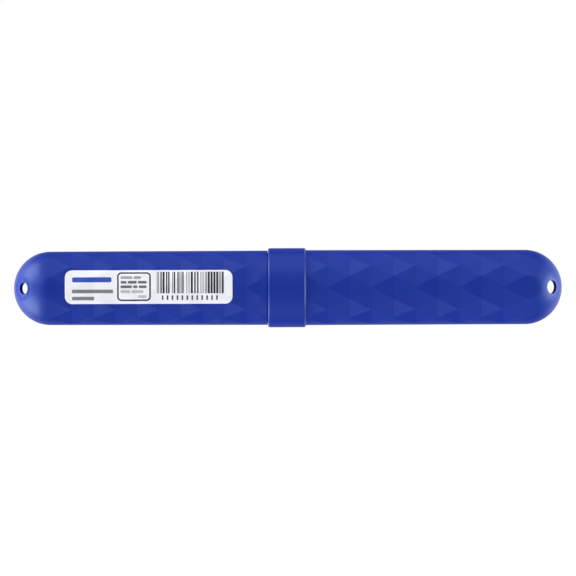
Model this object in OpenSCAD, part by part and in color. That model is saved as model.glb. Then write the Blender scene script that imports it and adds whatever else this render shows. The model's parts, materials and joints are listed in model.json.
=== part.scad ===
/* [Closed case] */
// Length from dome tip to dome tip with the cap pushed home
case_len = 205; // [185:1:225]
// Distance of the collar's rim from the middle, toward the body's dome
rim_offset = 7.45; // [2:0.05:12]
// Gap left between the body's shoulder and the collar's rim
seam_gap = 0.35; // [0.3:0.05:0.8]

/* [Walls] */
// Wall thickness under the corners of the facets
wall_t = 1.68; // [1.5:0.02:1.9]
// Wall thickness at the tips of both domes
tip_wall_t = 1.25; // [1:0.05:1.6]

/* [Body] */
// Radius over the facet corners at the body's shoulder
body_mouth_r = 13.93; // [12.5:0.01:16]
// How much smaller the body's dome is in radius
body_taper = 0.19; // [0.05:0.01:0.4]
// Bevel round the outer edge of the body's shoulder
shoulder_bevel = 0.4; // [0.2:0.05:0.6]

/* [Spigot and fit] */
// Length of the spigot that stands out of the body's shoulder
spigot_len = 11.5; // [8:0.5:12.5]
// Wall thickness of the spigot
spigot_wall_t = 0.85; // [0.7:0.05:0.95]
// Bevel round the outer edge of the spigot's end
spigot_bevel = 0.35; // [0.2:0.05:0.5]
// Radial clearance of the spigot in the collar
slip_clearance = 0.05; // [0.02:0.01:0.1]
// Room between the spigot's end and the step inside the cap
spigot_end_gap = 0.5; // [0.3:0.1:1]

/* [Cap] */
// How much larger in radius the cap starts than the body's shoulder
cap_step = 0.12; // [0:0.01:0.3]
// How much smaller the cap's dome is in radius
cap_taper = 0.13; // [0.05:0.01:0.4]
// Wall thickness of the collar round the spigot
collar_wall_t = 1.67; // [1.5:0.01:2]
// Length of the collar from its rim to the foot of its bevel
collar_len = 14.4; // [13.8:0.1:18]
// Rounding of the outer edge of the collar's rim
rim_round = 0.55; // [0.3:0.05:0.7]
// Bevel round the inner edge of the collar's rim
rim_bevel = 0.25; // [0.1:0.05:0.4]

/* [Facets] */
// Rows of diamonds between the seam and a dome
facet_rows = 5; // [3:1:7]
// Corners on each face of the case in the fuller rings
facet_corners = 5; // [3:2:5]
// Angle between neighbouring corners, seen along the case
facet_angle = 36; // [32:1:38]
// How far the last ring of corners lies past the start of a dome
facet_run_out = 0.2; // [0:0.05:0.5]
// Depth of the corners below the smooth skin of the uncut bands
facet_sink = 0.03; // [0.02:0.01:0.06]
// How far the cap's first ring of corners lies under the collar's bevel
facet_tuck = 0.25; // [0.15:0.05:0.5]

/* [Vents] */
// Angle of a vent from square out of the case toward the dome's tip
vent_angle = 48; // [44:1:52]
// Radius of the body's vents
body_vent_r = 2.15; // [1.8:0.05:2.4]
// Radius of the ring groove round a body vent, at its middle
vent_groove_r = 3.95; // [3.8:0.05:4.1]
// Width of the ring groove
vent_groove_w = 1.7; // [1.4:0.1:2]
// Depth of the ring groove below the dome
vent_groove_depth = 0.3; // [0.2:0.05:0.4]
// Radius of the cap's vents
cap_vent_r = 2.47; // [2.2:0.01:2.7]
// Width of the soft countersink round a cap vent
vent_sink_w = 0.45; // [0.3:0.05:0.6]

/* [Label] */
// Length of the label along the case
label_len = 62.9; // [50:0.5:66]
// Height of the label, seen square on
label_h = 12.9; // [10:0.1:14]
// Thickness of the label
label_t = 0.12; // [0.1:0.01:0.2]
// Corner radius of the label
label_corner_r = 2.7; // [1:0.1:4]
// Distance of the label from the collar's rim
label_from_rim = 13.25; // [10:0.25:18]
// Turn of the label round the case, upward
label_turn = 1.2; // [-3:0.1:3]

/* [Hidden] */

// Overrun of every cut past the face that it opens
over = 1;
// How far a part reaches into the part that it is fused with
root = 2;
// Curve steps of the round forms
round_fn = 96;
// Half the length, which puts the origin in the middle of the axis
half_len = case_len / 2;

// The ridge of the facet form stands this share of the radius out of the
// case, above and below, so that an uncut band stays there
ridge_share = 1.6;

// Body, measured from the rim plane toward its dome
body_dome_r = body_mouth_r - body_taper;
body_len = half_len - rim_offset;
body_dome_at = body_len - body_dome_r;
// Cap, measured from its first ring of corners toward its dome
cap_mouth_r = body_mouth_r + cap_step;
cap_dome_r = cap_mouth_r - cap_taper;
cap_from = collar_len - rim_offset - facet_tuck;
cap_dome_at = half_len - cap_from - cap_dome_r;

// Bores, each one wall thickness inside the skin
body_bore_r = body_mouth_r - wall_t;
body_bore_dome_r = body_dome_r - wall_t;
cap_bore_r = cap_mouth_r - wall_t;
cap_bore_dome_r = cap_dome_r - wall_t;
// How far the bores' domes are pushed out, to thin the wall at the tips
bore_shift = wall_t - tip_wall_t;

// The fit: the collar's bore follows the spigot
spigot_r = body_bore_r + spigot_wall_t;
spigot_reach = spigot_len - seam_gap;
socket_r = spigot_r + slip_clearance;
collar_r = socket_r + collar_wall_t;
socket_depth = spigot_reach + spigot_end_gap;

// Section of the ring groove's cutter, from the groove's width and depth
groove_cut_r = (pow(vent_groove_w / 2, 2) + pow(vent_groove_depth, 2)) / (2 * vent_groove_depth);
groove_tilt = asin(vent_groove_r / body_dome_r);
groove_reach = body_dome_r - vent_groove_depth + groove_cut_r;

plastic_blue = [0.17, 0.24, 0.62];
label_white = [0.95, 0.95, 0.94];

// Turns what stands along +Z to lie along +X
module along_x() {
    rotate([0, 90, 0]) children();
}

// Angles of the corners on one face of the case; full rings have one corner
// more than the rings between them, which are turned by half a step
function face_corners(full) = full ? facet_corners : facet_corners - 1;
function face_angle(full, k) = (k - (face_corners(full) - 1) / 2) * facet_angle;

// One ring of the facet form: front corners, upper ridge, back corners and
// lower ridge, at the place s along the axis
function ring_point(s, r, angle) = [s, -r * cos(angle), r * sin(angle)];
function ring_points(full, s, r) = [
    for (side = [0, 180]) each concat(
        [for (k = [0 : face_corners(full) - 1]) ring_point(s, r, side + face_angle(full, k))],
        [ring_point(s, r * ridge_share, side + 90)]
    )
];
function ring_size(full) = 2 * (face_corners(full) + 1);

// Is ring i of a form with the given rows one of the full rings? The rings
// at both ends, and the extra ones past them, aren't
function is_full(i, rows) = i > 1 && i < 2 * rows + 1 && i % 2 == 0;
// Number of points before ring i
function ring_start(i, rows) = i == 0 ? 0 : ring_start(i - 1, rows) + ring_size(is_full(i - 1, rows));
// Point k of a face on ring i; k = 0 is the ridge before that face
function ring_index(i, rows, face, k) =
    let (size = ring_size(is_full(i, rows)))
    ring_start(i, rows) + (face * size / 2 + k - 1 + size) % size;

// Triangles between a full ring f and a lesser ring e beside it, on one face
function zigzag(f, e, rows, face) =
    let (
        lesser = face_corners(false),
        up = f > e,
        F = function (k) ring_index(f, rows, face, k),
        E = function (k) ring_index(e, rows, face, k)
    )
    concat(
        [for (k = [0 : lesser + 1]) up ? [F(k), E(k), F(k + 1)] : [F(k), F(k + 1), E(k)]],
        [for (k = [0 : lesser]) up ? [E(k), E(k + 1), F(k + 1)] : [F(k + 1), E(k + 1), E(k)]]
    );
// Flat strips between two rings of one kind
function strip(i, rows) =
    let (size = ring_size(is_full(i, rows)), low = ring_start(i, rows), high = ring_start(i + 1, rows))
    [for (k = [0 : size - 1]) [low + k, low + (k + 1) % size, high + (k + 1) % size, high + k]];

// Solid bounded by the flat facets of one half of the case. It runs along
// +X from its first ring of corners to past the dome, and is wider than
// the case at its ridges. Its last facets run on in their own planes, so
// that they cut into the dome
module facet_form(dome_at, mouth_r, dome_r) {
    rows = facet_rows;
    run = dome_at + facet_run_out;
    last = 2 * rows + 1;
    ring_r = function (i) mouth_r + (dome_r - mouth_r) * (i - 1) / (last - 1) - facet_sink;
    chord_share = cos(facet_angle / 2);
    fall_share = (ring_r(last - 1) - ring_r(last) * chord_share) * (last - 1) / run;
    run_on = dome_r + over;
    far_r = ring_r(last) - run_on * fall_share / chord_share;
    points = concat(
        ring_points(false, -root, ring_r(1)),
        [for (i = [1 : last]) each ring_points(is_full(i, rows), run * (i - 1) / (last - 1), ring_r(i))],
        ring_points(false, run + run_on, far_r)
    );
    sides = concat(
        strip(0, rows),
        [for (i = [1 : last - 1], face = [0, 1])
            each is_full(i, rows) ? zigzag(i, i + 1, rows, face) : zigzag(i + 1, i, rows, face)],
        strip(last, rows)
    );
    size = ring_size(false);
    far = ring_start(last + 1, rows);
    ends = [[for (k = [size - 1 : -1 : 0]) k], [for (k = [0 : size - 1]) far + k]];
    polyhedron(points, concat(sides, ends));
}

// A round skin that tapers from start to the dome and ends in the dome
module round_form(start, dome_at, mouth_r, dome_r) {
    start_r = mouth_r + (dome_r - mouth_r) * start / dome_at;
    along_x() {
        translate([0, 0, start])
            cylinder(h = dome_at - start, r1 = start_r, r2 = dome_r, $fn = round_fn);
        translate([0, 0, dome_at])
            rotate_extrude($fn = round_fn)
                intersection() {
                    circle(r = dome_r, $fn = round_fn);
                    square([dome_r + over, dome_r + over]);
                }
    }
}

// Moves a form to the body's place: it starts at the rim plane and points
// along -X
module in_body() {
    mirror([1, 0, 0]) translate([rim_offset, 0, 0]) children();
}

// Moves a form to the cap's place: it starts just under the collar's bevel
module in_cap() {
    translate([cap_from, 0, 0]) children();
}

// Puts children on the two vent axes of a dome, front and back, with +Z
// pointing out of the dome
module on_vents(dome_at) {
    for (side = [-1, 1])
        translate([dome_at, 0, 0])
            rotate([0, 0, side * (90 - vent_angle)])
                along_x() children();
}

// Drills a vent from inside the bore to outside the dome
module vent_cut(vent_r, dome_r) {
    translate([0, 0, dome_r - wall_t - over])
        cylinder(h = wall_t + 2 * over, r = vent_r, $fn = round_fn);
}

// Ring groove round a vent, cut square into the dome
module vent_groove_cut() {
    rotate_extrude($fn = round_fn)
        translate([groove_reach * sin(groove_tilt), groove_reach * cos(groove_tilt)])
            circle(r = groove_cut_r, $fn = round_fn);
}

// Soft countersink round a vent
module vent_sink_cut(vent_r, dome_r) {
    translate([0, 0, dome_r - vent_sink_w])
        cylinder(h = 2 * vent_sink_w, r1 = vent_r, r2 = vent_r + 2 * vent_sink_w, $fn = round_fn);
}

// Left half: faceted tube with a domed end, and the spigot
module tube_body() {
    color(plastic_blue)
        difference() {
            union() {
                in_body()
                    intersection() {
                        facet_form(body_dome_at, body_mouth_r, body_dome_r);
                        round_form(seam_gap, body_dome_at, body_mouth_r, body_dome_r);
                        shoulder_form();
                    }
                spigot();
            }
            body_bore();
            in_body() on_vents(body_dome_at) {
                vent_cut(body_vent_r, body_dome_r);
                vent_groove_cut();
            }
        }
}

// Bevels the edge of the body's shoulder, and is wider than the body past it
module shoulder_form() {
    edge_r = body_mouth_r - shoulder_bevel;
    along_x()
        translate([0, 0, seam_gap])
            cylinder(h = body_len, r1 = edge_r, r2 = edge_r + body_len, $fn = round_fn);
}

// Thin plain ring that the collar slides over
module spigot() {
    translate([-rim_offset - seam_gap, 0, 0])
        along_x() {
            translate([0, 0, -root])
                cylinder(h = spigot_len + root - spigot_bevel, r = spigot_r, $fn = round_fn);
            translate([0, 0, spigot_len - spigot_bevel])
                cylinder(h = spigot_bevel, r1 = spigot_r, r2 = spigot_r - spigot_bevel, $fn = round_fn);
        }
}

// Hollow of the body, open at the spigot's end
module body_bore() {
    in_body()
        translate([-spigot_reach, 0, 0])
            bore_form(body_dome_at + spigot_reach, body_bore_r, body_bore_dome_r);
}

// A bore that starts at its mouth and ends in a dome of its own
module bore_form(dome_at, mouth_r, dome_r) {
    round_form(0, dome_at + bore_shift, mouth_r, dome_r);
    along_x() translate([0, 0, -over]) cylinder(h = 2 * over, r = mouth_r, $fn = round_fn);
}

// Right half: collar, faceted tube and domed end
module tube_cap() {
    color(plastic_blue)
        difference() {
            union() {
                in_cap()
                    intersection() {
                        facet_form(cap_dome_at, cap_mouth_r, cap_dome_r);
                        round_form(-over, cap_dome_at, cap_mouth_r, cap_dome_r);
                    }
                collar();
            }
            cap_bore();
            in_cap() on_vents(cap_dome_at) {
                vent_cut(cap_vent_r, cap_dome_r);
                vent_sink_cut(cap_vent_r, cap_dome_r);
            }
        }
}

// Plain band at the cap's mouth: rounded at its rim, with a bevel that runs
// down to the facets at its other end
module collar() {
    bevel = collar_r - socket_r;
    crown = collar_len - (collar_r - cap_mouth_r);
    translate([-rim_offset, 0, 0])
        along_x()
            rotate_extrude($fn = round_fn) {
                polygon([
                    [socket_r, 0],
                    [collar_r - rim_round, 0],
                    [collar_r - rim_round, rim_round],
                    [collar_r, rim_round],
                    [collar_r, crown],
                    [socket_r, crown + bevel],
                ]);
                translate([collar_r - rim_round, rim_round])
                    circle(r = rim_round, $fn = round_fn);
            }
}

// Hollow of the cap: a socket for the spigot, a step, and the bore
module cap_bore() {
    translate([-rim_offset, 0, 0]) {
        along_x() {
            translate([0, 0, -over])
                cylinder(h = socket_depth + over, r = socket_r, $fn = round_fn);
            cylinder(h = rim_bevel, r1 = socket_r + rim_bevel, r2 = socket_r, $fn = round_fn);
        }
        translate([socket_depth, 0, 0])
            bore_form(collar_len - facet_tuck + cap_dome_at - socket_depth, cap_bore_r, cap_bore_dome_r);
    }
}

// Label on the front of the body, following its facets
module label() {
    color(label_white)
        difference() {
            intersection() {
                label_block();
                in_body()
                    facet_form(body_dome_at, body_mouth_r + label_t, body_dome_r + label_t);
            }
            in_body() facet_form(body_dome_at, body_mouth_r, body_dome_r);
        }
}

// The label's outline, carried straight back through the front wall
module label_block() {
    rotate([-label_turn, 0, 0])
        translate([-rim_offset - label_from_rim - label_len, 0, -label_h / 2])
            rotate([90, 0, 0])
                linear_extrude(height = body_mouth_r + over)
                    label_outline();
}

module label_outline() {
    inner = [label_len - 2 * label_corner_r, label_h - 2 * label_corner_r];
    translate([label_corner_r, 0]) square([inner.x, label_h]);
    translate([0, label_corner_r]) square([label_len, inner.y]);
    for (u = [0, inner.x], v = [0, inner.y])
        translate([label_corner_r + u, label_corner_r + v])
            circle(r = label_corner_r, $fn = round_fn);
}

tube_body();
tube_cap();
label();
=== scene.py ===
"""Finished surfaces, materials and studio for a faceted travel case for one toothbrush."""

import json
import math

import bmesh
import bpy
import numpy as np
from bpy.props import FloatProperty, FloatVectorProperty, PointerProperty
from mathutils import Matrix, Vector


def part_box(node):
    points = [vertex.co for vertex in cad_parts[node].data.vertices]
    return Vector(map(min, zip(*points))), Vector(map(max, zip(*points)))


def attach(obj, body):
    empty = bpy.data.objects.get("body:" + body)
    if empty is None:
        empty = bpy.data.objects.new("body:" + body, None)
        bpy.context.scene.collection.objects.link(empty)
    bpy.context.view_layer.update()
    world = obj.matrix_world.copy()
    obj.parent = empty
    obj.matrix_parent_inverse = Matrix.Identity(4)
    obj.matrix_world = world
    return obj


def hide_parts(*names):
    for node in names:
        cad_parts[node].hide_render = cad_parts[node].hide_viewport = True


bl_info = {
    "name": "Toothbrush travel case",
    "version": (1, 0, 0),
    "blender": (4, 5, 0),
    "location": "3D View > Sidebar > Travel case",
    "description": "Builds the two moulded halves, the label and the studio of a toothbrush travel case",
    "category": "Add Mesh",
}

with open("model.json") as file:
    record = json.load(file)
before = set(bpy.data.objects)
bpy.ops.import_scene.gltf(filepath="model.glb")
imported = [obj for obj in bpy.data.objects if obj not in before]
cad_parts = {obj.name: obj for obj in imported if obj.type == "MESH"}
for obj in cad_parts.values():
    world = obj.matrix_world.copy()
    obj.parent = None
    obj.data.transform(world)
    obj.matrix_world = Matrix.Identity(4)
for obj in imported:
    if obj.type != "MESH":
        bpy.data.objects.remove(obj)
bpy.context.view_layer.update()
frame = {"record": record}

MM = 0.001
mounts = {mount["name"]: mount for mount in frame["record"]["mounts"]}
body_low, body_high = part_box("tube_body")
cap_low, cap_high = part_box("tube_cap")
label_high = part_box("label")[1]

# Facet lattice: corners round the case, rings of corners along it, and the angle between two corners
AROUND = 10
RINGS = 11
CORNER_ANGLE = 2 * math.pi / AROUND
# Turns, counted in corner angles from square front, at which the two smooth bands lie
BAND_TURNS = (AROUND / 4, 3 * AROUND / 4)
# Steps along each edge of a facet, and how much they crowd toward the folds
FACET_STEPS = 18
CROWDING = 1.35
# Points over the tip of a dome, from band to band
OVER_TIP = 72
# Where the grids of a dome start: outside past the last ring of corners, and inside past the bore
DOME_FOOT = 2.6 * MM
BORE_FOOT = 1.3 * MM
# Rows of grids: close round a vent, from there to the dome's edge, and in a dome, a bore or a dome's foot
VENT_ROWS, OUTSIDE_ROWS, INSIDE_ROWS = 44, 24, 14
# How far the close rows reach from a vent's axis
BODY_VENT_REACH = 6.3 * MM
CAP_VENT_REACH = 4.6 * MM
# Powers that crowd rows: toward the last ring of corners, and toward a vent outside and inside
FOOT_POWER, OUTSIDE_POWER, INSIDE_POWER = 1.3, 1.15, 1.2
# Distance between a rounding and the next row of a straight stretch
ROW_ROOM = 0.3 * MM
# Points closer than this are welded
WELD = 0.004 * MM
# Grid of the label: points along it, down one corner and between the corners
LABEL_COLUMNS, LABEL_CORNER_ROWS, LABEL_MIDDLE_ROWS = 221, 14, 34


def linear(hex_colour):
    """Linear RGB of an sRGB hex colour such as 2B3FA0."""
    parts = [int(hex_colour[i : i + 2], 16) / 255 for i in (0, 2, 4)]
    return tuple(p / 12.92 if p <= 0.04045 else ((p + 0.055) / 1.055) ** 2.4 for p in parts)


def size(name, description, millimetres):
    """A length that a user can change, kept in metres."""
    return FloatProperty(
        name=name, description=description, default=millimetres * MM, min=0, precision=5, unit="LENGTH"
    )


def fraction(name, description, default):
    """A share from nothing to one that a user can change."""
    return FloatProperty(name=name, description=description, default=default, min=0, max=1, subtype="FACTOR")


def colour(name, description, hex_colour):
    """A colour that a user can change."""
    return FloatVectorProperty(
        name=name, description=description, default=linear(hex_colour), min=0, max=1, subtype="COLOR"
    )


class CaseSizes(bpy.types.PropertyGroup):
    """Sizes of the two moulded halves."""

    body_radius: size("Body radius", "Radius over the facet corners at the body's shoulder", body_high.z / MM)
    cap_radius: size("Cap radius", "Radius over the facet corners beside the collar", 14.05)
    collar_length: size("Collar length", "From the collar's rim to the foot of its bevel", 14.4)
    facet_tuck: size("Facet tuck", "How far the cap's facets start before the bevel's foot", 0.25)
    facet_run_out: size("Facet run-out", "How far the last corners lie past the start of a dome", 0.2)
    wall: size("Wall", "Wall thickness under the facet corners", 1.68)
    tip_wall: size("Tip wall", "Wall thickness at the tips of the domes", 1.25)
    seam_gap: size("Seam gap", "Gap between the body's shoulder and the collar's rim", 0.12)
    spigot_wall: size("Spigot wall", "Wall thickness of the spigot", 0.85)
    slip: size("Slip clearance", "Radial clearance of the spigot in the collar", 0.05)
    socket_room: size("Socket room", "Room between the spigot's end and the step in the cap", 0.5)
    shoulder_edge: size("Shoulder edge", "Rounding of the shoulder's edge at the facet corners", 0.2)
    fine_edge: size("Fine edge", "Rounding of the finest moulded edges", 0.12)
    rim_edge: size("Rim edge", "Rounding of the collar's outer rim", 0.65)
    rim_lead: size("Rim lead-in", "Rounding of the collar's inner rim", 0.25)
    crown_edge: size("Crown edge", "Rounding between the collar and its bevel", 0.35)
    crown_bevel: size("Crown bevel", "Depth of the collar's bevel, before its steep end", 0.5)
    body_shallow: size("Body's shallow length", "Length over which the body's facets deepen", 6.0)
    body_first_depth: fraction("Body's first depth", "Depth share of its facets at the seam", 0.1)
    cap_shallow: size("Cap's shallow length", "Length over which the cap's facets deepen", 3.2)
    cap_first_depth: fraction("Cap's first depth", "Depth share of its facets at the collar", 0.4)
    body_fade: size("Body's fade", "Length over which the body's facets fade into its dome", 15.0)
    body_fade_lead: size("Body's fade lead", "How far before its dome they start to fade", 7.5)
    cap_fade: size("Cap's fade", "Length over which the cap's flats fade on its dome", 40.0)
    flat_blend: size("Flat blend", "Width of the soft line where a flat cuts into a dome", 0.4)
    flat_blend_run: size("Flat blend's run", "Length over which that line grows to its width", 2.5)
    dish_radius: size("Dish radius", "Radius of the shallow dish round a body vent", 4.75)
    dish_slope: size("Dish slope", "Width of the slope that leads down into the dish", 1.5)
    dish_depth: size("Dish depth", "Depth of the dish", 0.34)
    dish_offset: size("Dish offset", "How far the dish's middle lies from its vent, toward the tip", 1.0)
    lip_radius: size("Lip radius", "Radius of the raised lip round a body vent", 2.75)
    lip_slope: size("Lip slope", "Width of the slope that leads up to the lip", 0.5)
    body_vent_edge: size("Body vent edge", "Rounding of a body vent's outer edge", 0.12)
    cap_vent_edge: size("Cap vent edge", "Rounding of a cap vent's outer edge", 0.28)
    body_inner_edge: size("Body vent's inner edge", "Rounding of a body vent's edge on the inside", 0.3)
    cap_inner_edge: size("Cap vent's inner edge", "Rounding of a cap vent's edge on the inside", 0.6)


class LabelSizes(bpy.types.PropertyGroup):
    """Sizes of the label and its plain print."""

    width: size("Width", "Length of the label along the case", 62.62)
    height: size("Height", "Height of the label, seen square on", 12.6)
    corner: size("Corner radius", "Radius of the label's corners", 2.7)
    thickness: size("Thickness", "Thickness of the label", 0.1)
    drape: size("Drape", "How softly the label follows the folds under it", 0.8)
    lift: size("Lift", "How far the label's face stands off the rounded folds", 0.12)
    module: size("Stripe module", "Width of the thinnest stripe", 0.264)


class CaseColours(bpy.types.PropertyGroup):
    """Colours of the finishes."""

    plastic: colour("Plastic", "Blue of the moulded halves", "0D2B98")
    paper: colour("Label", "White of the label's face", "F8F8FA")
    ink: colour("Ink", "Dark ink of the stripes and rules", "23252E")
    blue_ink: colour("Blue ink", "Blue ink of the label's bar", "2F4FB4")


class StudioLight(bpy.types.PropertyGroup):
    """Levels of the studio's light."""

    level: FloatProperty(name="Level", description="Strength of all the soft panels", default=1.0, min=0)
    tint: colour("Tint", "Slightly cool white of the soft panels", "F8FAFF")
    table_glow: FloatProperty(name="Table glow", description="White that the table gives off", default=0.84)
    table_share: FloatProperty(name="Table share", description="How much lit laminate it shows", default=0.22)


# Print that stands for words, in millimetres from the label's left end and middle line: the left and right
# ends of each rule, its middle line, its thickness, and how dark its ink is
RULES = (
    (2.6, 18.0, -1.6, 1.35, 0.78),
    (2.6, 10.9, -4.25, 1.35, 0.78),
    (20.8, 25.2, 3.55, 1.0, 0.62),
    (25.7, 28.4, 3.55, 1.0, 0.62),
    (20.8, 23.0, 1.8, 1.0, 0.85),
    (23.5, 26.8, 1.8, 1.0, 0.85),
    (27.3, 30.5, 1.8, 1.0, 0.85),
    (20.8, 25.0, 0.1, 1.0, 0.85),
    (25.5, 27.1, 0.1, 1.0, 0.85),
    (27.6, 30.5, 0.1, 1.0, 0.85),
    (20.8, 24.4, -1.7, 1.0, 0.45),
    (24.9, 29.3, -1.7, 1.0, 0.45),
    (27.4, 30.4, -3.55, 1.0, 0.4),
)
BLUE_RULE = (2.7, 17.4, 2.75, 1.9)
# Frame round the middle rules: its middle, half its size, its corners' radius and half its line's width
FRAME_CENTRE, FRAME_HALF, FRAME_CORNER, FRAME_LINE = (25.8, 0.15), (6.0, 5.1), 1.3, 0.29
# Stripes of chance widths: where the modules are counted from, the middle and half the size of their field,
# the share of modules left light, the modules in a group, and the number in it under which one may be dark
STRIPES_FROM = 34.35
STRIPE_CENTRE, STRIPE_HALF = (46.85, 1.65), (12.5, 4.05)
LIGHT_SHARE, STRIPE_GROUP, DARK_IN_GROUP = 0.33, 4.0, 2.5
# Row of even ticks under the stripes: middle, half its size, and the pitch and width of a tick in modules
TICK_CENTRE, TICK_HALF, TICK_PITCH, TICK_WIDTH = (46.85, -4.0), (10.6, 0.85), 7.0, 2.2
# Corner radius of the stripes' field and of the ticks' row, and how far ink spreads past an edge
FIELD_CORNER, INK_SPREAD = 0.05, 0.03

# Soft panels round the case: name, angle from the lens's axis, turn about it from straight up toward the
# cap, radius as seen from the case (all in degrees) and strength at the middle
PANELS = (
    ("right", 90.4, 91.0, 30.0, 7.75),
    ("left_low", 84.5, 230.4, 37.3, 3.99),
    ("left_high", 84.1, 308.0, 37.6, 5.16),
    ("left_wide", 80.2, 240.4, 61.1, 1.18),
    ("left_rear", 131.1, 268.0, 57.2, 0.85),
    ("right_rear", 127.2, 91.6, 52.0, 1.15),
    ("backdrop", 164.4, 230.9, 75.8, 0.29),
    ("right_high", 66.3, 53.0, 57.7, 0.86),
    ("ceiling", 67.5, -13.2, 32.9, 0.66),
    ("ceiling_rear", 101.5, 0.4, 20.8, 0.65),
    ("under", 69.2, 143.2, 51.3, 0.54),
    ("under_rear", 88.8, 176.0, 24.2, 0.13),
    ("front_low", 18.2, 186.2, 18.0, 0.31),
    ("front_left_high", 36.4, 302.7, 20.4, 2.13),
    ("front_left_low", 34.4, 244.8, 18.3, 0.7),
    ("front_right", 31.2, 82.8, 29.2, 0.25),
    ("front_right_low", 41.2, 143.6, 38.7, 0.14),
)


def add_node(tree, kind, links=None, **settings):
    """Adds a node, sets its properties, and links or sets the inputs that links names. A node given there
    stands for its first output."""
    made = tree.nodes.new(kind)
    for name, value in settings.items():
        setattr(made, name, value)
    for name, value in (links or {}).items():
        if isinstance(value, bpy.types.Node):
            value = value.outputs[0]
        if isinstance(value, bpy.types.NodeSocket):
            tree.links.new(value, made.inputs[name])
        else:
            made.inputs[name].default_value = value
    return made


def new_material(name):
    """An empty node material and its tree."""
    made = bpy.data.materials.new(name)
    made.use_nodes = True
    made.node_tree.nodes.clear()
    return made, made.node_tree


# Geometry, with a row as an array over the columns round the case


def smooth(share):
    """Smoothstep of a share that is first held between nothing and one."""
    share = np.clip(share, 0, 1)
    return share**2 * (3 - 2 * share)


def polar(s, radius, angle):
    """Points at s along the case and radius out from its axis, at an angle from square front."""
    return np.stack([s, -radius * np.cos(angle), radius * np.sin(angle)], -1)


def angle_of(points):
    """Angle of points about the case's axis, from square front, within one turn."""
    return np.arctan2(points[..., 2], -points[..., 1]) % (2 * math.pi)


def bend(start, corner, end, shares):
    """Points of the curve that leaves the start toward the corner and reaches the end from there."""
    return [(1 - t) ** 2 * start + 2 * t * (1 - t) * corner + t**2 * end for t in shares]


def crowd(shares):
    """Shares crowded toward the folds: each raised to a power, then all brought back to a sum of one."""
    raised = shares**CROWDING
    return raised / raised.sum(-1, keepdims=True)


def facet_grid():
    """Corner shares of the points of one facet, on a triangular grid, and the triangles between them."""
    count = np.arange(FACET_STEPS + 1)
    i, j = np.nonzero(np.add.outer(count, count) <= FACET_STEPS)
    number = np.zeros((FACET_STEPS + 2, FACET_STEPS + 2), int)
    number[i, j] = np.arange(len(i))
    first = np.stack([number[i, j], number[i + 1, j], number[i, j + 1]], 1)[i + j < FACET_STEPS]
    inner = i + j < FACET_STEPS - 1
    second = np.stack([number[i + 1, j], number[i + 1, j + 1], number[i, j + 1]], 1)[inner]
    return crowd(np.stack([i, j, FACET_STEPS - i - j], 1) / FACET_STEPS), np.concatenate([first, second])


def facet_cells():
    """Corners of every triangular cell of the lattice, each as its ring and its turn round the case."""
    cells = []
    for ring in range(RINGS - 1):
        for k in range(AROUND):
            turn = k + 0.5 * (1 - ring % 2)
            cells.append([(ring, turn), (ring, turn + 1), (ring + 1, turn + 0.5)])
            cells.append([(ring, turn), (ring + 1, turn + 0.5), (ring + 1, turn - 0.5)])
    return np.array(cells, float)


def column_angles():
    """Angles of the columns, at the points of the straight chords between a ring's corners."""
    steps = np.arange(FACET_STEPS)
    share = crowd(np.stack([steps, FACET_STEPS - steps], 1) / FACET_STEPS)[:, :1]
    corner = (np.arange(AROUND) + 0.5) * CORNER_ANGLE
    y = (1 - share) * np.cos(corner) + share * np.cos(corner + CORNER_ANGLE)
    z = (1 - share) * np.sin(corner) + share * np.sin(corner + CORNER_ANGLE)
    return np.sort(np.arctan2(z, y).ravel() % (2 * math.pi))


def in_band(turn):
    """True where a turn lies in one of the two smooth bands, on a ring whose corners meet them."""
    return np.min([np.abs(turn % AROUND - band) for band in BAND_TURNS], 0) < 1


def chord_radius(radius, angle):
    """Section through a ring of corners: straight chords, radius cos(a/2) over cos(angle from the chord's
    middle), and round in the bands."""
    turn = angle / CORNER_ANGLE
    middle = np.floor(turn - 0.5) + 1
    chord = radius * math.cos(CORNER_ANGLE / 2) / np.cos((turn - middle) * CORNER_ANGLE)
    return np.where(in_band(turn), radius, chord)


def arc_row(centre, radius, angles):
    """Rows of a rounding: centre plus radius times cosine along s and sine along r, at angles in degrees."""
    return [
        (centre[0] + radius * math.cos(math.radians(a)), centre[1] + radius * math.sin(math.radians(a)))
        for a in angles
    ]


def straight_rows(start, end, shares):
    """Rows between two places, each an (s, r) pair."""
    return [(start[0] + (end[0] - start[0]) * f, start[1] + (end[1] - start[1]) * f) for f in shares]


def slerp(start, end, shares):
    """Points on the great circles from start to end, unit vectors by column, at each share of the way."""
    between = np.arccos(np.clip((start * end).sum(-1), -1, 1))[None, :, None]
    f = np.asarray(shares, float)[:, None, None]
    return (np.sin((1 - f) * between) * start + np.sin(f * between) * end) / np.sin(between)


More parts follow.
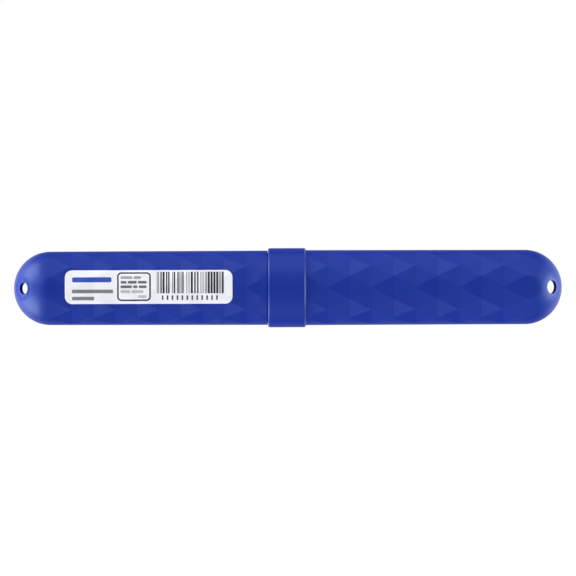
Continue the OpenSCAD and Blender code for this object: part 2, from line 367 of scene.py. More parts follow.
class Half:
    """Places of one half of the case. Distance s runs along it, from its first ring of corners."""

    def __init__(self, start_x, toward, mouth_radius, tip_x, vent, inner_edge, shallow, fade, sizes):
        place, axis = Vector(vent["pos_m"]), Vector(vent["axis"])
        self.start_x, self.toward = start_x, toward
        self.mouth_radius = mouth_radius
        dome_x = place.x - axis.x * place.y / axis.y
        self.dome_s = (dome_x - start_x) * toward
        self.dome_radius = abs(tip_x - dome_x)
        self.run = self.dome_s + sizes.facet_run_out
        self.vent_radius = vent["dims"]["r_mm"] * MM
        self.vent_lean = (abs(axis.x), abs(axis.y))
        self.bore_radius = mouth_radius - sizes.wall
        self.bore_dome_radius = self.dome_radius - sizes.wall
        self.bore_dome_s = self.dome_s + sizes.wall - sizes.tip_wall
        self.inner_edge = inner_edge
        self.shallow, self.first_depth = shallow
        self.fade, self.fade_lead = fade
        self.blend, self.blend_run = sizes.flat_blend, sizes.flat_blend_run
        self.angles = column_angles()

    def skin(self, s):
        """Radius of the round skin: a straight taper, then the dome's circle."""
        taper = self.mouth_radius + (self.dome_radius - self.mouth_radius) * s / self.dome_s
        dome = np.sqrt(np.maximum(self.dome_radius**2 - (s - self.dome_s) ** 2, 0))
        return np.where(s < self.dome_s, taper, dome)

    def kept_share(self, s):
        """Share of their depth that the facets keep at s, where they fade into the dome."""
        return 1 - smooth((s - self.run + self.fade_lead) / self.fade)

    def depth_share(self, s):
        """Share of the full depth that the facets have at s: they start shallow at the seam, deepen
        smoothly and fade again toward the dome."""
        grown = self.first_depth + (1 - self.first_depth) * smooth(s / self.shallow)
        return grown * self.kept_share(s)

    def mouth(self, angle):
        """Radius of the wall's first row."""
        radius = chord_radius(self.mouth_radius, angle)
        return self.mouth_radius - (self.mouth_radius - radius) * self.depth_share(0)

    def last_flats(self, s, angle):
        """Radius of the last flats, which run on past their ring in their own planes. Beside a smooth band
        the surface climbs out of the flats' edge at a fixed slope."""
        climb_slope = 0.31
        chord_share = math.cos(CORNER_ANGLE / 2)
        before, last = self.skin(self.run * np.array([(RINGS - 2) / (RINGS - 1), 1]))
        fall = (before - last * chord_share) * (RINGS - 1) / self.run
        depth = last * chord_share - fall * (s - self.run)
        turn = angle / CORNER_ANGLE
        flat = depth / np.cos((turn - np.floor(turn - 0.5) - 1) * CORNER_ANGLE)
        past = 1 - np.min([np.abs(turn - band) for band in BAND_TURNS], 0)
        return np.where(in_band(turn), depth / chord_share + climb_slope * past * CORNER_ANGLE * last, flat)

    def cut(self, points):
        """Points of the dome's outside, moved in to where the flats cut into it. Both meet in a soft line:
        a smooth minimum, whose width grows from next to nothing at the last ring. The flats fade as the
        facets do."""
        s, y, z = points[..., 0], points[..., 1], points[..., 2]
        skin = self.skin(s)
        over = skin - self.last_flats(s, angle_of(points))
        soft = self.blend * smooth((s - self.run) / self.blend_run) + 1e-9
        near = np.clip(0.5 + 0.5 * over / soft, 0, 1)
        depth = (over * near + soft * near * (1 - near)) * self.kept_share(s)
        scale = 1 - depth / np.maximum(np.hypot(y, z), MM)
        return np.stack([s, y * scale, z * scale], -1)

    def bore(self, s, mouth_s):
        """Radius of the bore, which tapers from its mouth to its own dome."""
        share = (s - mouth_s) / (self.bore_dome_s - mouth_s)
        return self.bore_radius + (self.bore_dome_radius - self.bore_radius) * share

    def around(self, rows):
        """Points of rows of (s, r), each a number or an array over the columns."""
        s = np.array([np.broadcast_to(row[0], self.angles.shape) for row in rows])
        r = np.array([np.broadcast_to(row[1], self.angles.shape) for row in rows])
        return polar(s, r, self.angles)

    def placed(self, points):
        """Points in the shared frame."""
        moved = points.copy()
        moved[..., 0] = self.start_x + self.toward * points[..., 0]
        return moved


def faceted_wall(half, first_s):
    """Outer wall: flat triangles between the corners of the lattice, with the two bands pushed out to the
    round skin. A band sinks to meet the straight edge of the facets beside it, and rises from there at a
    fixed slope. All that lies under the skin is then brought nearer to it, by the share of depth there.
    first_s gives where the wall starts along each angle, and the first row of facets is drawn in to it."""
    rise_slope = 0.65
    shares, faces = facet_grid()
    cells = facet_cells()
    ring, turn = cells[..., 0], cells[..., 1]
    s = half.run * ring / (RINGS - 1)
    corners = polar(s, half.skin(s), turn * CORNER_ANGLE)
    points = np.einsum("pk,ckx->cpx", shares, corners)

    at_side = np.isclose(turn % (AROUND / 2), AROUND / 4)
    cell_in_band = at_side.any(1)
    middle_cell = cell_in_band & np.isclose((turn * ~at_side).sum(1) % 1, 0)
    side_share = np.einsum("pk,ck->cp", shares, at_side.astype(float))
    others = shares[None] * ~at_side[:, None, :]
    others = others / np.maximum(others.sum(-1, keepdims=True), 1e-9)
    edge_point = np.einsum("cpk,ckx->cpx", others, corners)
    sag = half.skin(edge_point[..., 0]) - np.hypot(edge_point[..., 1], edge_point[..., 2])
    sag = np.where((side_share > 0.999) | middle_cell[:, None], 0, sag)
    side = half.run / (RINGS - 1)
    rise = rise_slope * side_share * side
    sunk = np.maximum(sag - rise, 0)
    flat_radius = np.hypot(points[..., 1], points[..., 2])
    band_radius = half.skin(points[..., 0]) - sunk
    scale = np.where(cell_in_band[:, None], band_radius / flat_radius, 1)
    points[..., 1:] *= scale[..., None]

    radius, skin = np.hypot(points[..., 1], points[..., 2]), half.skin(points[..., 0])
    shallow = skin - (skin - radius) * half.depth_share(points[..., 0])
    points[..., 1:] *= (shallow / radius)[..., None]

    start = first_s(half.mouth(angle_of(points)))
    squeezed = start + points[..., 0] * (side - start) / side
    points[..., 0] = np.where(points[..., 0] < side, squeezed, points[..., 0])
    offsets = np.arange(len(cells))[:, None, None] * len(shares)
    return points.reshape(-1, 3), (faces[None] + offsets).reshape(-1, 3)


def dome_foot(half):
    """Rows of the dome's sphere, from the last ring of corners to where the dome's own grids start."""
    places = half.run + DOME_FOOT * np.linspace(0, 1, INSIDE_ROWS) ** FOOT_POWER
    return half.around([(s, half.skin(s)) for s in places])


def dome_edge(half, centre_s, radius, ring_row, front):
    """Closed loop round one side of a dome, as unit vectors from its centre: half of the ring below it, then
    the line over its tip."""
    quarter = round(len(half.angles) / 4)
    columns = (np.arange(2 * quarter + 1) + (-quarter if front else quarter)) % len(half.angles)
    start = np.argmin(half.angles)
    ring = ring_row[(columns + start) % len(half.angles)]
    low = math.asin((ring[0, 0] - centre_s) / radius)
    arc = np.linspace(low, math.pi - low, OVER_TIP + 1)[1:-1]
    over = np.stack([np.sin(arc), 0 * arc, np.cos(arc) * (1 if front else -1)], -1)
    return np.concatenate([(ring - (centre_s, 0, 0)) / radius, over])


def dished(points, vent_axis, sizes):
    """Points round a body vent, from the dome's centre, moved in by the dish: smoothstep of the share of
    the way down its own slope or up to the vent's lip, whichever is less, times the depth. The dish's axis
    is the vent's, leaned toward the tip."""
    lean = sizes.dish_offset / sizes.body_radius
    turn = Matrix.Rotation(-lean if vent_axis[1] > 0 else lean, 3, "Z")
    dish_axis = np.array(turn @ Vector(vent_axis))

    def distance(axis):
        """Distance of each point from an axis through the dome's centre."""
        return np.linalg.norm(points - (points @ axis)[..., None] * axis, axis=-1)

    down = (sizes.dish_radius - distance(dish_axis)) / sizes.dish_slope
    up = (distance(vent_axis) - sizes.lip_radius) / sizes.lip_slope
    depth = sizes.dish_depth * smooth(np.minimum(down, up))
    return points * (1 - depth / np.linalg.norm(points, axis=-1))[..., None]


def dome_side(half, outer_row, inner_row, front, profile, dish):
    """One side of a dome with its vent, as a grid that runs in from the dome's edge, down the vent's wall
    and out again over the inside. The profile gives the outside near the vent as (distance from the vent's
    axis, height along it); from there each column follows a great circle to the edge. The dish, where there
    is one, and the flats are then cut into the outside."""
    centre, bore_centre = np.array([half.dome_s, 0, 0]), np.array([half.bore_dome_s, 0, 0])
    along, out = half.vent_lean
    axis = np.array([along, -out if front else out, 0])
    edge = dome_edge(half, half.dome_s, half.dome_radius, outer_row, front)
    inner_edge = dome_edge(half, half.bore_dome_s, half.bore_dome_radius, inner_row, front)
    away = edge - (edge @ axis)[:, None] * axis
    away /= np.linalg.norm(away, axis=1, keepdims=True)

    near = axis * profile[:, 1][:, None, None] + away * profile[:, 0][:, None, None]
    first = near[0] / np.linalg.norm(near[0], axis=1, keepdims=True)
    spread = np.linspace(0, 1, OUTSIDE_ROWS) ** OUTSIDE_POWER
    outside = slerp(first, edge, spread[::-1])[:-1] * half.dome_radius

    shift = half.bore_dome_s - half.dome_s
    v = half.vent_radius
    lean = away[:, 0]
    inner_height = shift * along + np.sqrt(
        half.bore_dome_radius**2 - v**2 - shift**2 + 2 * v * shift * lean + (shift * along) ** 2
    )
    wall_top = profile[-1, 1]
    edge_round = half.inner_edge
    wall = [
        axis * (wall_top + (inner_height + edge_round - wall_top) * share)[:, None] + away * v
        for share in (0.25, 0.5, 0.75, 1)
    ]
    turned = axis * inner_height[:, None] + away * v
    start = turned + away * edge_round + centre - bore_centre
    start /= np.linalg.norm(start, axis=1, keepdims=True)
    spread = np.linspace(0, 1, INSIDE_ROWS) ** INSIDE_POWER
    inside = slerp(start, inner_edge, spread) * half.bore_dome_radius
    last = inside[0] + bore_centre - centre
    corner = bend(wall[-1], turned, last, (0.2, 0.4, 0.6, 0.8))
    shown = np.concatenate([outside, near])
    shown = half.cut((dished(shown, axis, dish) if dish else shown) + centre)
    hidden = np.array(wall + corner) + centre
    return np.concatenate([shown, hidden, inside + bore_centre])


def grid_faces(rows, columns, closed=True):
    """Quads of a grid of points. A closed one joins its last column to its first."""
    i, j = np.meshgrid(np.arange(rows - 1), np.arange(columns if closed else columns - 1), indexing="ij")
    k = (j + 1) % columns
    corners = [i * columns + j, i * columns + k, (i + 1) * columns + k, (i + 1) * columns + j]
    return np.stack(corners, -1).reshape(-1, 4)


def vent_profile(half, vent_edge, reach):
    """Outside of a dome near a vent, from reach in to the vent's wall, as (distance from the vent's axis,
    height along it): the sphere's height, then a curve over the vent's edge."""
    radius = half.vent_radius
    u = np.linspace(reach, radius + vent_edge, VENT_ROWS)
    sphere = np.stack([u, np.sqrt(half.dome_radius**2 - u**2)], 1)
    top = np.array([radius, math.sqrt(half.dome_radius**2 - radius**2)])
    return np.concatenate([sphere, bend(sphere[-1], top, top - (0, vent_edge), np.linspace(0, 1, 8)[1:])])


def mesh_object(name, points, faces):
    """A smooth mesh object in the scene."""
    mesh = bpy.data.meshes.new(name)
    mesh.from_pydata(points.reshape(-1, 3).tolist(), [], faces)
    mesh.polygons.foreach_set("use_smooth", np.ones(len(mesh.polygons), bool))
    made = bpy.data.objects.new(name, mesh)
    bpy.context.scene.collection.objects.link(made)
    return made


def make_piece(name, patches):
    """A mesh object welded from patches of (points, faces), closed, smooth and with its faces outward."""
    points = np.concatenate([patch[0].reshape(-1, 3) for patch in patches])
    offset, faces = 0, []
    for patch_points, patch_faces in patches:
        faces += (patch_faces + offset).tolist()
        offset += patch_points.size // 3
    made = mesh_object(name, points, faces)
    mesh = made.data
    mesh.validate()
    shape = bmesh.new()
    shape.from_mesh(mesh)
    bmesh.ops.remove_doubles(shape, verts=shape.verts, dist=WELD)
    bmesh.ops.dissolve_degenerate(shape, edges=shape.edges, dist=WELD)
    bmesh.ops.recalc_face_normals(shape, faces=shape.faces)
    open_edges = sum(1 for edge in shape.edges if not edge.is_manifold)
    shape.to_mesh(mesh)
    shape.free()
    print(name, len(mesh.polygons), "faces,", open_edges, "open edges")
    return made


def moulded_half(name, half, first_s, mouth_rows, mouth_s, profile, dish=None):
    """One whole half: faceted wall, dome with two vents, mouth and bore, welded into one closed shell."""
    sphere = dome_foot(half)
    places = np.linspace(mouth_rows[-1][0], half.bore_dome_s, INSIDE_ROWS)[1:]
    bore_rows = [(s, half.bore(s, mouth_s)) for s in places]
    bore_rows.append((half.bore_dome_s + BORE_FOOT, math.sqrt(half.bore_dome_radius**2 - BORE_FOOT**2)))
    mouth = half.around(mouth_rows + bore_rows)
    sides = [dome_side(half, sphere[-1], mouth[-1], front, profile, dish) for front in (True, False)]
    patches = [(rows, grid_faces(*rows.shape[:2])) for rows in (half.cut(sphere), mouth, *sides)]
    patches.insert(0, faceted_wall(half, first_s))
    return make_piece(name, [(half.placed(points), faces) for points, faces in patches])


def moulded_plastic():
    """Polypropylene from a spark-eroded mould: a satin blue with a fine even grain, a witness line where
    the mould halves met, a very slight unevenness of gloss where the plastic flowed, and a little light let
    through, which gives it a waxy depth and a glow at thin edges."""
    colours = bpy.context.scene.case_colours
    material, tree = new_material("satin_moulded_polypropylene")
    place = add_node(tree, "ShaderNodeTexCoord").outputs["Object"]
    grain_size, flow_size = 0.25 * MM, 14 * MM
    # Half the width of the witness line's crest and of its foot, and its height beside the grain's
    crest, foot, height = 0.03 * MM, 0.1 * MM, 1.5
    noise = {"Vector": place, "Scale": 1 / grain_size, "Detail": 2.0, "Roughness": 0.6}
    grain = add_node(tree, "ShaderNodeTexNoise", noise)
    noise = {"Vector": place, "Scale": 1 / flow_size, "Detail": 3.0, "Distortion": 0.6}
    flow = add_node(tree, "ShaderNodeTexNoise", noise)
    gloss = add_node(
        tree,
        "ShaderNodeMapRange",
        {"Value": flow, "From Min": 0.3, "From Max": 0.7, "To Min": 0.36, "To Max": 0.4},
    )
    shade = add_node(
        tree,
        "ShaderNodeMix",
        {"Factor": flow, 6: (*[c * 0.96 for c in colours.plastic], 1), 7: (*colours.plastic, 1)},
        data_type="RGBA",
    )
    split = add_node(tree, "ShaderNodeSeparateXYZ", {"Vector": place})
    from_split = add_node(tree, "ShaderNodeMath", {0: split.outputs["Y"]}, operation="ABSOLUTE")
    witness = add_node(
        tree,
        "ShaderNodeMapRange",
        {"Value": from_split, "From Min": crest, "From Max": foot, "To Min": 1.0, "To Max": 0.0},
        interpolation_type="SMOOTHSTEP",
    )
    relief = add_node(tree, "ShaderNodeMath", {0: witness, 1: height, 2: grain}, operation="MULTIPLY_ADD")
    bump = add_node(tree, "ShaderNodeBump", {"Strength": 0.25, "Distance": 0.02 * MM, "Height": relief})
    surface = add_node(
        tree,
        "ShaderNodeBsdfPrincipled",
        {
            "Base Color": shade.outputs[2],
            "Roughness": gloss,
            "IOR": 1.52,
            "Specular Tint": (0.72, 0.97, 1.0, 1),
            "Subsurface Weight": 0.15,
            "Subsurface Radius": (0.3, 0.6, 1.0),
            "Subsurface Scale": 1.2 * MM,
            "Normal": bump,
        },
    )
    add_node(tree, "ShaderNodeOutputMaterial", {"Surface": surface})
    return material


def body_half(sizes):
    """The body's half, which starts at the collar's rim."""
    vent, edge = mounts["body_vent_front"], sizes.body_inner_edge
    shallow, fade = (sizes.body_shallow, sizes.body_first_depth), (sizes.body_fade, sizes.body_fade_lead)
    return Half(cap_low.x, -1, sizes.body_radius, body_low.x, vent, edge, shallow, fade, sizes)


class CASE_OT_body(bpy.types.Operator):
    """Builds the case's body: faceted tube, dome with vents, shoulder and spigot"""

    bl_idname = "travel_case.body"
    bl_label = "Body"

    def execute(self, context):
        sizes = context.scene.case_sizes
        half = body_half(sizes)
        gap, fine = sizes.seam_gap, sizes.fine_edge

        def edge_round(radius):
            """Rounding of the shoulder's edge, least where the wall is furthest in."""
            return np.maximum(fine, radius - (half.mouth_radius - sizes.shoulder_edge))

        def first_s(radius):
            """Where the wall starts: past the gap and the rounding."""
            return gap + edge_round(radius)

        top = half.mouth(half.angles)
        soft = edge_round(top)
        end_s = (body_high.x - half.start_x) * half.toward
        spigot = half.bore_radius + sizes.spigot_wall
        rows = [
            (gap + soft * (1 - math.sin(a)), top - soft * (1 - math.cos(a)))
            for a in np.linspace(0, math.pi / 2, 9)
        ]
        rows += arc_row((gap - 2 * fine, spigot + 2 * fine), 2 * fine, (0, -30, -60, -90))
        rows += straight_rows((gap - 3 * fine, spigot), (end_s + 3 * fine + ROW_ROOM, spigot), (0, 0.5, 1))
        rows += arc_row((end_s + 3 * fine, spigot - 3 * fine), 3 * fine, (90, 120, 150, 180))
        rows += arc_row((end_s + fine, half.bore_radius + fine), fine, (180, 210, 240, 270))
        profile = vent_profile(half, sizes.body_vent_edge, BODY_VENT_REACH)
        piece = moulded_half("body_shell", half, first_s, rows, end_s, profile, sizes)
        piece.data.materials.append(moulded_plastic())
        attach(piece, "tube")
        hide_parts("tube_body")
        return {"FINISHED"}


class CASE_OT_cap(bpy.types.Operator):
    """Builds the case's cap: collar, faceted tube and dome with vents"""

    bl_idname = "travel_case.cap"
    bl_label = "Cap"

    def execute(self, context):
        sizes = context.scene.case_sizes
        start_x = cap_low.x + sizes.collar_length - sizes.facet_tuck
        vent, edge = mounts["cap_vent_front"], sizes.cap_inner_edge
        shallow, fade = (sizes.cap_shallow, sizes.cap_first_depth), (sizes.cap_fade, 0.0)
        half = Half(start_x, 1, sizes.cap_radius, cap_high.x, vent, edge, shallow, fade, sizes)
        collar = cap_high.z
        rim_s = cap_low.x - start_x
        crown_s = sizes.facet_tuck - (collar - sizes.cap_radius)
        draft = math.tan(math.radians(10))

        def first_s(radius):
            """Where the wall starts: down the bevel, then down its steep end."""
            drop = collar - radius
            bevel = np.minimum(drop, sizes.crown_bevel)
            return crown_s + bevel + draft * (drop - bevel)

        socket = sizes.body_radius - sizes.wall + sizes.spigot_wall + sizes.slip
        step_s = rim_s + body_high.x - cap_low.x + sizes.socket_room
        top = half.mouth(half.angles)
        soft, rim, lead, fine = sizes.crown_edge, sizes.rim_edge, sizes.rim_lead, sizes.fine_edge
        # The crown's rounding touches the collar and the bevel, which stands at 45 degrees
        crown_centre = (crown_s - soft * math.tan(math.pi / 8), collar - soft)
        bevel_end = collar - sizes.crown_bevel
        rows = straight_rows((first_s(top), top), (first_s(bevel_end), bevel_end), (0, 0.1, 0.5, 0.88))
        rows += straight_rows(
            (first_s(bevel_end), bevel_end),
            (crown_centre[0] + soft * math.sqrt(0.5), crown_centre[1] + soft * math.sqrt(0.5)),
            (0.06, 0.2, 0.6, 0.94),
        )
        rows += arc_row(crown_centre, soft, (45, 56, 68, 79, 90))
        rows += straight_rows(
            (crown_centre[0] - ROW_ROOM, collar), (rim_s + rim + ROW_ROOM, collar), (0, 0.33, 0.67, 1)
        )
        rows += arc_row((rim_s + rim, collar - rim), rim, (90, 105, 120, 135, 150, 165, 180))
        rows += arc_row((rim_s + lead, socket + lead), lead, (180, 210, 240, 270))
        rows += straight_rows((rim_s + 2 * lead, socket), (step_s - fine, socket), (0, 0.5, 1))
        rows += [(step_s, socket - fine)]
        rows += arc_row((step_s + fine, half.bore_radius + fine), fine, (180, 225, 270))
        profile = vent_profile(half, sizes.cap_vent_edge, CAP_VENT_REACH)
        piece = moulded_half("cap_shell", half, first_s, rows, step_s, profile)
        piece.data.materials.append(moulded_plastic())
        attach(piece, "cap")
        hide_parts("tube_cap")
        return {"FINISHED"}


def body_section(s, angle, half):
    """Radius of the faceted body at (s, angle). Between two rings a point lies either in a facet that
    stands on the first ring's chord or in one that stands on the second's; both are planes, with the radius
    along a line from the chord's middle to the opposite corner over the cosine of the angle from that line.
    The share of depth at s then brings it nearer to the skin."""
    ring = np.clip(s / half.run * (RINGS - 1), 0, RINGS - 1 - 1e-6)
    strip = np.floor(ring)
    share = ring - strip
    offset = 0.5 * (strip % 2 == 0)
    turn = angle / CORNER_ANGLE - offset
    middle, nearest = np.floor(turn) + 0.5, np.round(turn)
    on_first = np.abs(turn - middle) <= (1 - share) / 2
    about = np.where(on_first, middle, nearest)
    low = half.skin(half.run * strip / (RINGS - 1))
    high = half.skin(half.run * (strip + 1) / (RINGS - 1))
    chord = np.where(on_first, low, high) * math.cos(CORNER_ANGLE / 2)
    corner = np.where(on_first, high, low)
    away = np.where(on_first, share, 1 - share)
    section = (chord * (1 - away) + corner * away) / np.cos((turn - about) * CORNER_ANGLE)
    return half.skin(s) - (half.skin(s) - section) * half.depth_share(s)


def draped_radius(s, angle, half, softness):
    """Mean radius of the body over a small disc round each point, which rounds the folds off like paper."""
    steps = [(0, 0)] + [
        (share * math.cos(a), share * math.sin(a)) for share in (0.5, 1) for a in np.arange(8) * math.pi / 4
    ]
    total = 0
    for along, across in steps:
        turned = angle + across * softness / half.mouth_radius
        total = total + body_section(s + along * softness, turned, half)
    return total / len(steps)


def printed_paper(width, height):
    """Coated white label paper with flat offset print: a clean, slightly glossy white with crisp dark
    marks. The print is plain bars, rules and stripes, laid out in millimetres from the label's left end and
    middle line."""
    colours = bpy.context.scene.case_colours
    material, tree = new_material("coated_label_paper")
    uv = add_node(tree, "ShaderNodeUVMap", uv_map="label_map")
    place = add_node(
        tree,
        "ShaderNodeVectorMath",
        {0: uv, 1: (width / MM, height / MM, 0), 2: (0, -height / MM / 2, 0)},
        operation="MULTIPLY_ADD",
    )

    def bar(centre, half_size, corner, line=None):
        """One inside a bar with round corners, from the distance to it: the length of what passes its core,
        less the corner's radius. With a line, one along the bar's outline, up to that distance from it."""
        moved = add_node(tree, "ShaderNodeVectorMath", {0: place, 1: (*centre, 0)}, operation="SUBTRACT")
        folded = add_node(tree, "ShaderNodeVectorMath", {0: moved}, operation="ABSOLUTE")
        core = (half_size[0] - corner, half_size[1] - corner, 0)
        past = add_node(tree, "ShaderNodeVectorMath", {0: folded, 1: core}, operation="SUBTRACT")
        kept = add_node(tree, "ShaderNodeVectorMath", {0: past, 1: (0, 0, 0)}, operation="MAXIMUM")
        length = add_node(tree, "ShaderNodeVectorMath", {0: kept}, operation="LENGTH").outputs["Value"]
        distance = add_node(tree, "ShaderNodeMath", {0: length, 1: corner}, operation="SUBTRACT")
        if line:
            off_line = add_node(tree, "ShaderNodeMath", {0: distance}, operation="ABSOLUTE")
            distance = add_node(tree, "ShaderNodeMath", {0: off_line, 1: line}, operation="SUBTRACT")
        soft = {"From Min": -INK_SPREAD, "From Max": INK_SPREAD, "To Min": 1.0, "To Max": 0.0}
        return add_node(tree, "ShaderNodeMapRange", {"Value": distance, **soft})

    def rule(left, right, middle, thickness):
        """One inside a rule with slightly round ends."""
        return bar(((left + right) / 2, middle), ((right - left) / 2, thickness / 2), 0.3 * thickness)

    prints = [(rule(*ends), darkness) for *ends, darkness in RULES]
    prints.append((bar(FRAME_CENTRE, FRAME_HALF, FRAME_CORNER, FRAME_LINE), 1.0))

    module = bpy.context.scene.label_sizes.module / MM
    from_left = add_node(tree, "ShaderNodeSeparateXYZ", {"Vector": place}).outputs["X"]
    along = add_node(tree, "ShaderNodeMath", {0: from_left, 1: STRIPES_FROM}, operation="SUBTRACT")
    counted = add_node(tree, "ShaderNodeMath", {0: along, 1: module}, operation="DIVIDE")
    whole = add_node(tree, "ShaderNodeMath", {0: counted}, operation="FLOOR")
    chance = add_node(tree, "ShaderNodeTexWhiteNoise", {"W": whole}, noise_dimensions="1D")
    dark = add_node(tree, "ShaderNodeMath", {0: chance, 1: LIGHT_SHARE}, operation="GREATER_THAN")
    in_group = add_node(tree, "ShaderNodeMath", {0: whole, 1: STRIPE_GROUP}, operation="MODULO")
    grouped = add_node(tree, "ShaderNodeMath", {0: in_group, 1: DARK_IN_GROUP}, operation="LESS_THAN")
    stripe = add_node(tree, "ShaderNodeMath", {0: dark, 1: grouped}, operation="MULTIPLY")
    prints.append((bar(STRIPE_CENTRE, STRIPE_HALF, FIELD_CORNER), stripe))
    in_pitch = add_node(tree, "ShaderNodeMath", {0: counted, 1: TICK_PITCH}, operation="MODULO")
    tick = add_node(tree, "ShaderNodeMath", {0: in_pitch, 1: TICK_WIDTH}, operation="LESS_THAN")
    prints.append((bar(TICK_CENTRE, TICK_HALF, FIELD_CORNER), tick))

    marks = 0.0
    for cover, darkness in prints:
        inked = add_node(tree, "ShaderNodeMath", {0: cover, 1: darkness}, operation="MULTIPLY")
        marks = add_node(tree, "ShaderNodeMath", {0: marks, 1: inked}, operation="MAXIMUM")

    fibre_size = 0.35
    noise = {"Vector": place, "Scale": 1 / fibre_size, "Detail": 3.0, "Roughness": 0.6}
    fibre = add_node(tree, "ShaderNodeTexNoise", noise)
    bump = add_node(tree, "ShaderNodeBump", {"Strength": 0.1, "Distance": 0.01 * MM, "Height": fibre})
    # Paper between its fibres, then the fibres, the dark ink and the blue ink over it
    shade = (*[c * 0.97 for c in colours.paper], 1)
    for cover, ink in ((fibre, colours.paper), (marks, colours.ink), (rule(*BLUE_RULE), colours.blue_ink)):
        mix = add_node(tree, "ShaderNodeMix", {"Factor": cover, 6: shade, 7: (*ink, 1)}, data_type="RGBA")
        shade = mix.outputs[2]
    surface = add_node(
        tree,
        "ShaderNodeBsdfPrincipled",
        {"Base Color": shade, "Roughness": 0.42, "IOR": 1.5, "Normal": bump},
    )
    add_node(tree, "ShaderNodeOutputMaterial", {"Surface": surface})
    return material


def label_grid(shape, half):
    """Grid of the label's face, and each point's place on the label. Rows run along the case, closer
    together down the corners, and a row is drawn in at both ends by a quarter circle. Each point stands on
    the mean radius of the body round it plus the lift, at the angle whose sine is its height over that
    radius, found in a few rounds."""
    width, height = shape.width, shape.height
    low_x, low_z = label_high.x - width, label_high.z - height
    edge = shape.corner * (1 - np.cos(np.linspace(0, math.pi / 2, LABEL_CORNER_ROWS)))
    middle = np.linspace(shape.corner, height - shape.corner, LABEL_MIDDLE_ROWS)[1:-1]
    across = np.concatenate([edge, middle, height - edge[::-1]])
    drop = np.maximum(shape.corner - np.minimum(across, height - across), 0)
    inset = (shape.corner - np.sqrt(np.maximum(shape.corner**2 - drop**2, 0)))[:, None]
    x = low_x + inset + (width - 2 * inset) * np.linspace(0, 1, LABEL_COLUMNS)
    z = low_z + across[:, None]
    s = (x - half.start_x) * half.toward
    radius = half.skin(s)
    for _ in range(4):
        angle = np.arcsin(z / radius)
        radius = draped_radius(s, angle, half, shape.drape) + shape.lift
    uv = np.stack([(x - low_x) / width, np.broadcast_to(across[:, None] / height, x.shape)], -1)
    return polar(x, radius, angle), uv


class CASE_OT_label(bpy.types.Operator):
    """Builds the label that is stuck over the facets of the body's front"""

    bl_idname = "travel_case.label"
    bl_label = "Label"

    def execute(self, context):
        shape = context.scene.label_sizes
        points, uv = label_grid(shape, body_half(context.scene.case_sizes))
        faces = grid_faces(*points.shape[:2], closed=False)
        piece = mesh_object("label_sheet", points, faces.tolist())
        layer = piece.data.uv_layers.new(name="label_map")
        layer.data.foreach_set("uv", uv.reshape(-1, 2)[faces.ravel()].ravel())
        paper = piece.modifiers.new("paper", "SOLIDIFY")
        paper.thickness, paper.offset = shape.thickness, -1
        piece.data.materials.append(printed_paper(shape.width, shape.height))
        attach(piece, "tube")
        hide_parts("label")
        return {"FINISHED"}


def white_room(light):
    """World of a white studio. The camera sees plain white on every side. The light comes from soft round
    panels, each brightest in its middle and fading to its rim: smoothstep of the cosine between the
    direction and the panel's middle, from the cosine of its radius to one. The brightest stand at the
    case's ends. On the lens's own side only one is bright, high on the left."""
    world = bpy.data.worlds.new("white_room")
    world.use_nodes = True
    tree = world.node_tree
    tree.nodes.clear()
    direction = add_node(tree, "ShaderNodeTexCoord").outputs["Generated"]
    total = 0.0
    for name, angle, turn, radius, strength in PANELS:
        angle, turn = math.radians(angle), math.radians(turn)
        middle = (math.sin(angle) * math.sin(turn), -math.cos(angle), math.sin(angle) * math.cos(turn))
        near = add_node(tree, "ShaderNodeVectorMath", {0: direction, 1: middle}, operation="DOT_PRODUCT")
        panel = add_node(
            tree,
            "ShaderNodeMapRange",
            {
                "Value": near.outputs["Value"],
                "From Min": math.cos(math.radians(radius)),
                "From Max": 1.0,
                "To Max": strength * light.level,
            },
            label=name,
            interpolation_type="SMOOTHSTEP",
        )
        total = add_node(tree, "ShaderNodeMath", {0: total, 1: panel}, operation="ADD")
    rays = add_node(tree, "ShaderNodeLightPath")
    lit = add_node(tree, "ShaderNodeBackground", {"Color": (*light.tint, 1), "Strength": total})
    seen = add_node(tree, "ShaderNodeBackground", {"Color": (1, 1, 1, 1), "Strength": 1.0})
    by_ray = {0: rays.outputs["Is Camera Ray"], 1: lit, 2: seen}
    both = add_node(tree, "ShaderNodeMixShader", by_ray)
    add_node(tree, "ShaderNodeOutputWorld", {"Surface": both})
    return world


def white_table(light):
    """White laminate of a light table: it shows white to the camera and keeps the case's soft shadow, and
    for every other ray the white room goes on under it."""
    material, tree = new_material("white_light_table")
    laminate = 0.8
    grey = laminate * light.table_share
    lit = add_node(tree, "ShaderNodeBsdfDiffuse", {"Color": (grey, grey, grey, 1)})
    glow = add_node(tree, "ShaderNodeEmission", {"Color": (1, 1, 1, 1), "Strength": light.table_glow})
    shown = add_node(tree, "ShaderNodeAddShader", {0: lit, 1: glow})
    open_air = add_node(tree, "ShaderNodeBsdfTransparent")
    rays = add_node(tree, "ShaderNodeLightPath")
    by_ray = {0: rays.outputs["Is Camera Ray"], 1: open_air, 2: shown}
    both = add_node(tree, "ShaderNodeMixShader", by_ray)
    add_node(tree, "ShaderNodeOutputMaterial", {"Surface": both})
    return material


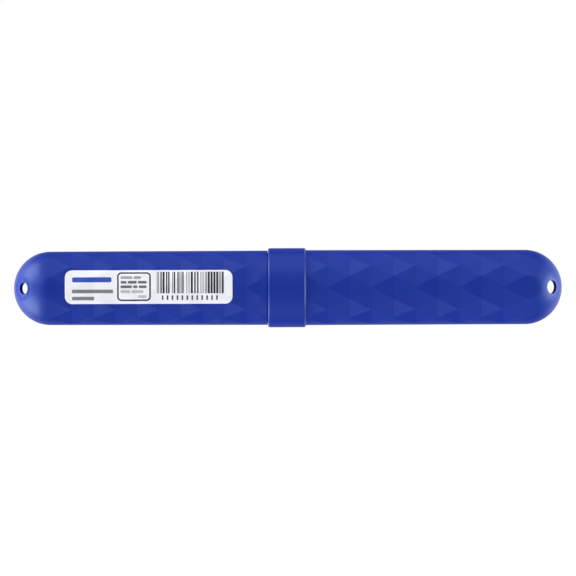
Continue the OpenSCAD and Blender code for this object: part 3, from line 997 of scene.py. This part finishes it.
class CASE_OT_stage(bpy.types.Operator):
    """Builds the white table, the room with its soft panels, and the camera"""

    bl_idname = "travel_case.stage"
    bl_label = "Studio"

    def execute(self, context):
        scene = context.scene
        scene.view_settings.view_transform = "Standard"
        scene.world = white_room(scene.studio_light)
        table_half, table_drop = 30.0, 0.02 * MM
        low, high, z = -table_half, table_half, cap_low.z - table_drop
        corners = np.array([(low, low, z), (high, low, z), (high, high, z), (low, high, z)])
        floor = mesh_object("table_top", corners, [(0, 1, 2, 3)])
        floor.data.materials.append(white_table(scene.studio_light))

        # The photograph shows next to no perspective, so a long lens stands far in front
        view_width, distance, sensor = 215.6 * MM, 8.0, 36.0
        aim, ahead, roll = Vector((0.04 * MM, 0, -0.12 * MM)), Vector((0, 1, 0)), math.radians(-0.17)
        camera = bpy.data.cameras.new("lens")
        camera.sensor_width, camera.lens = sensor, sensor * distance / view_width
        made = bpy.data.objects.new("lens", camera)
        turned = ahead.to_track_quat("-Z", "Y").to_matrix().to_4x4() @ Matrix.Rotation(roll, 4, "Z")
        made.matrix_world = Matrix.Translation(aim - ahead * distance) @ turned
        camera.clip_start, camera.clip_end = 0.1, 100
        scene.collection.objects.link(made)
        scene.camera = made
        return {"FINISHED"}


class CASE_PT_panel(bpy.types.Panel):
    """Lists the steps that build the case"""

    bl_label = "Travel case"
    bl_idname = "CASE_PT_panel"
    bl_space_type = "VIEW_3D"
    bl_region_type = "UI"
    bl_category = "Travel case"

    def draw(self, context):
        for kind in OPERATORS:
            self.layout.operator(kind.bl_idname)


GROUPS = {
    "case_sizes": CaseSizes,
    "label_sizes": LabelSizes,
    "case_colours": CaseColours,
    "studio_light": StudioLight,
}
OPERATORS = (CASE_OT_body, CASE_OT_cap, CASE_OT_label, CASE_OT_stage)
CLASSES = (*GROUPS.values(), *OPERATORS, CASE_PT_panel)


def register():
    """Registers the classes and hangs the groups of settings on the scene."""
    for kind in CLASSES:
        bpy.utils.register_class(kind)
    for name, kind in GROUPS.items():
        setattr(bpy.types.Scene, name, PointerProperty(type=kind))


def unregister():
    """Takes the settings and the classes off again."""
    for name in GROUPS:
        delattr(bpy.types.Scene, name)
    for kind in reversed(CLASSES):
        bpy.utils.unregister_class(kind)


def main():
    """Builds every piece and the studio."""
    register()
    bpy.ops.travel_case.body()
    bpy.ops.travel_case.cap()
    bpy.ops.travel_case.label()
    bpy.ops.travel_case.stage()


if __name__ == "__main__":
    main()
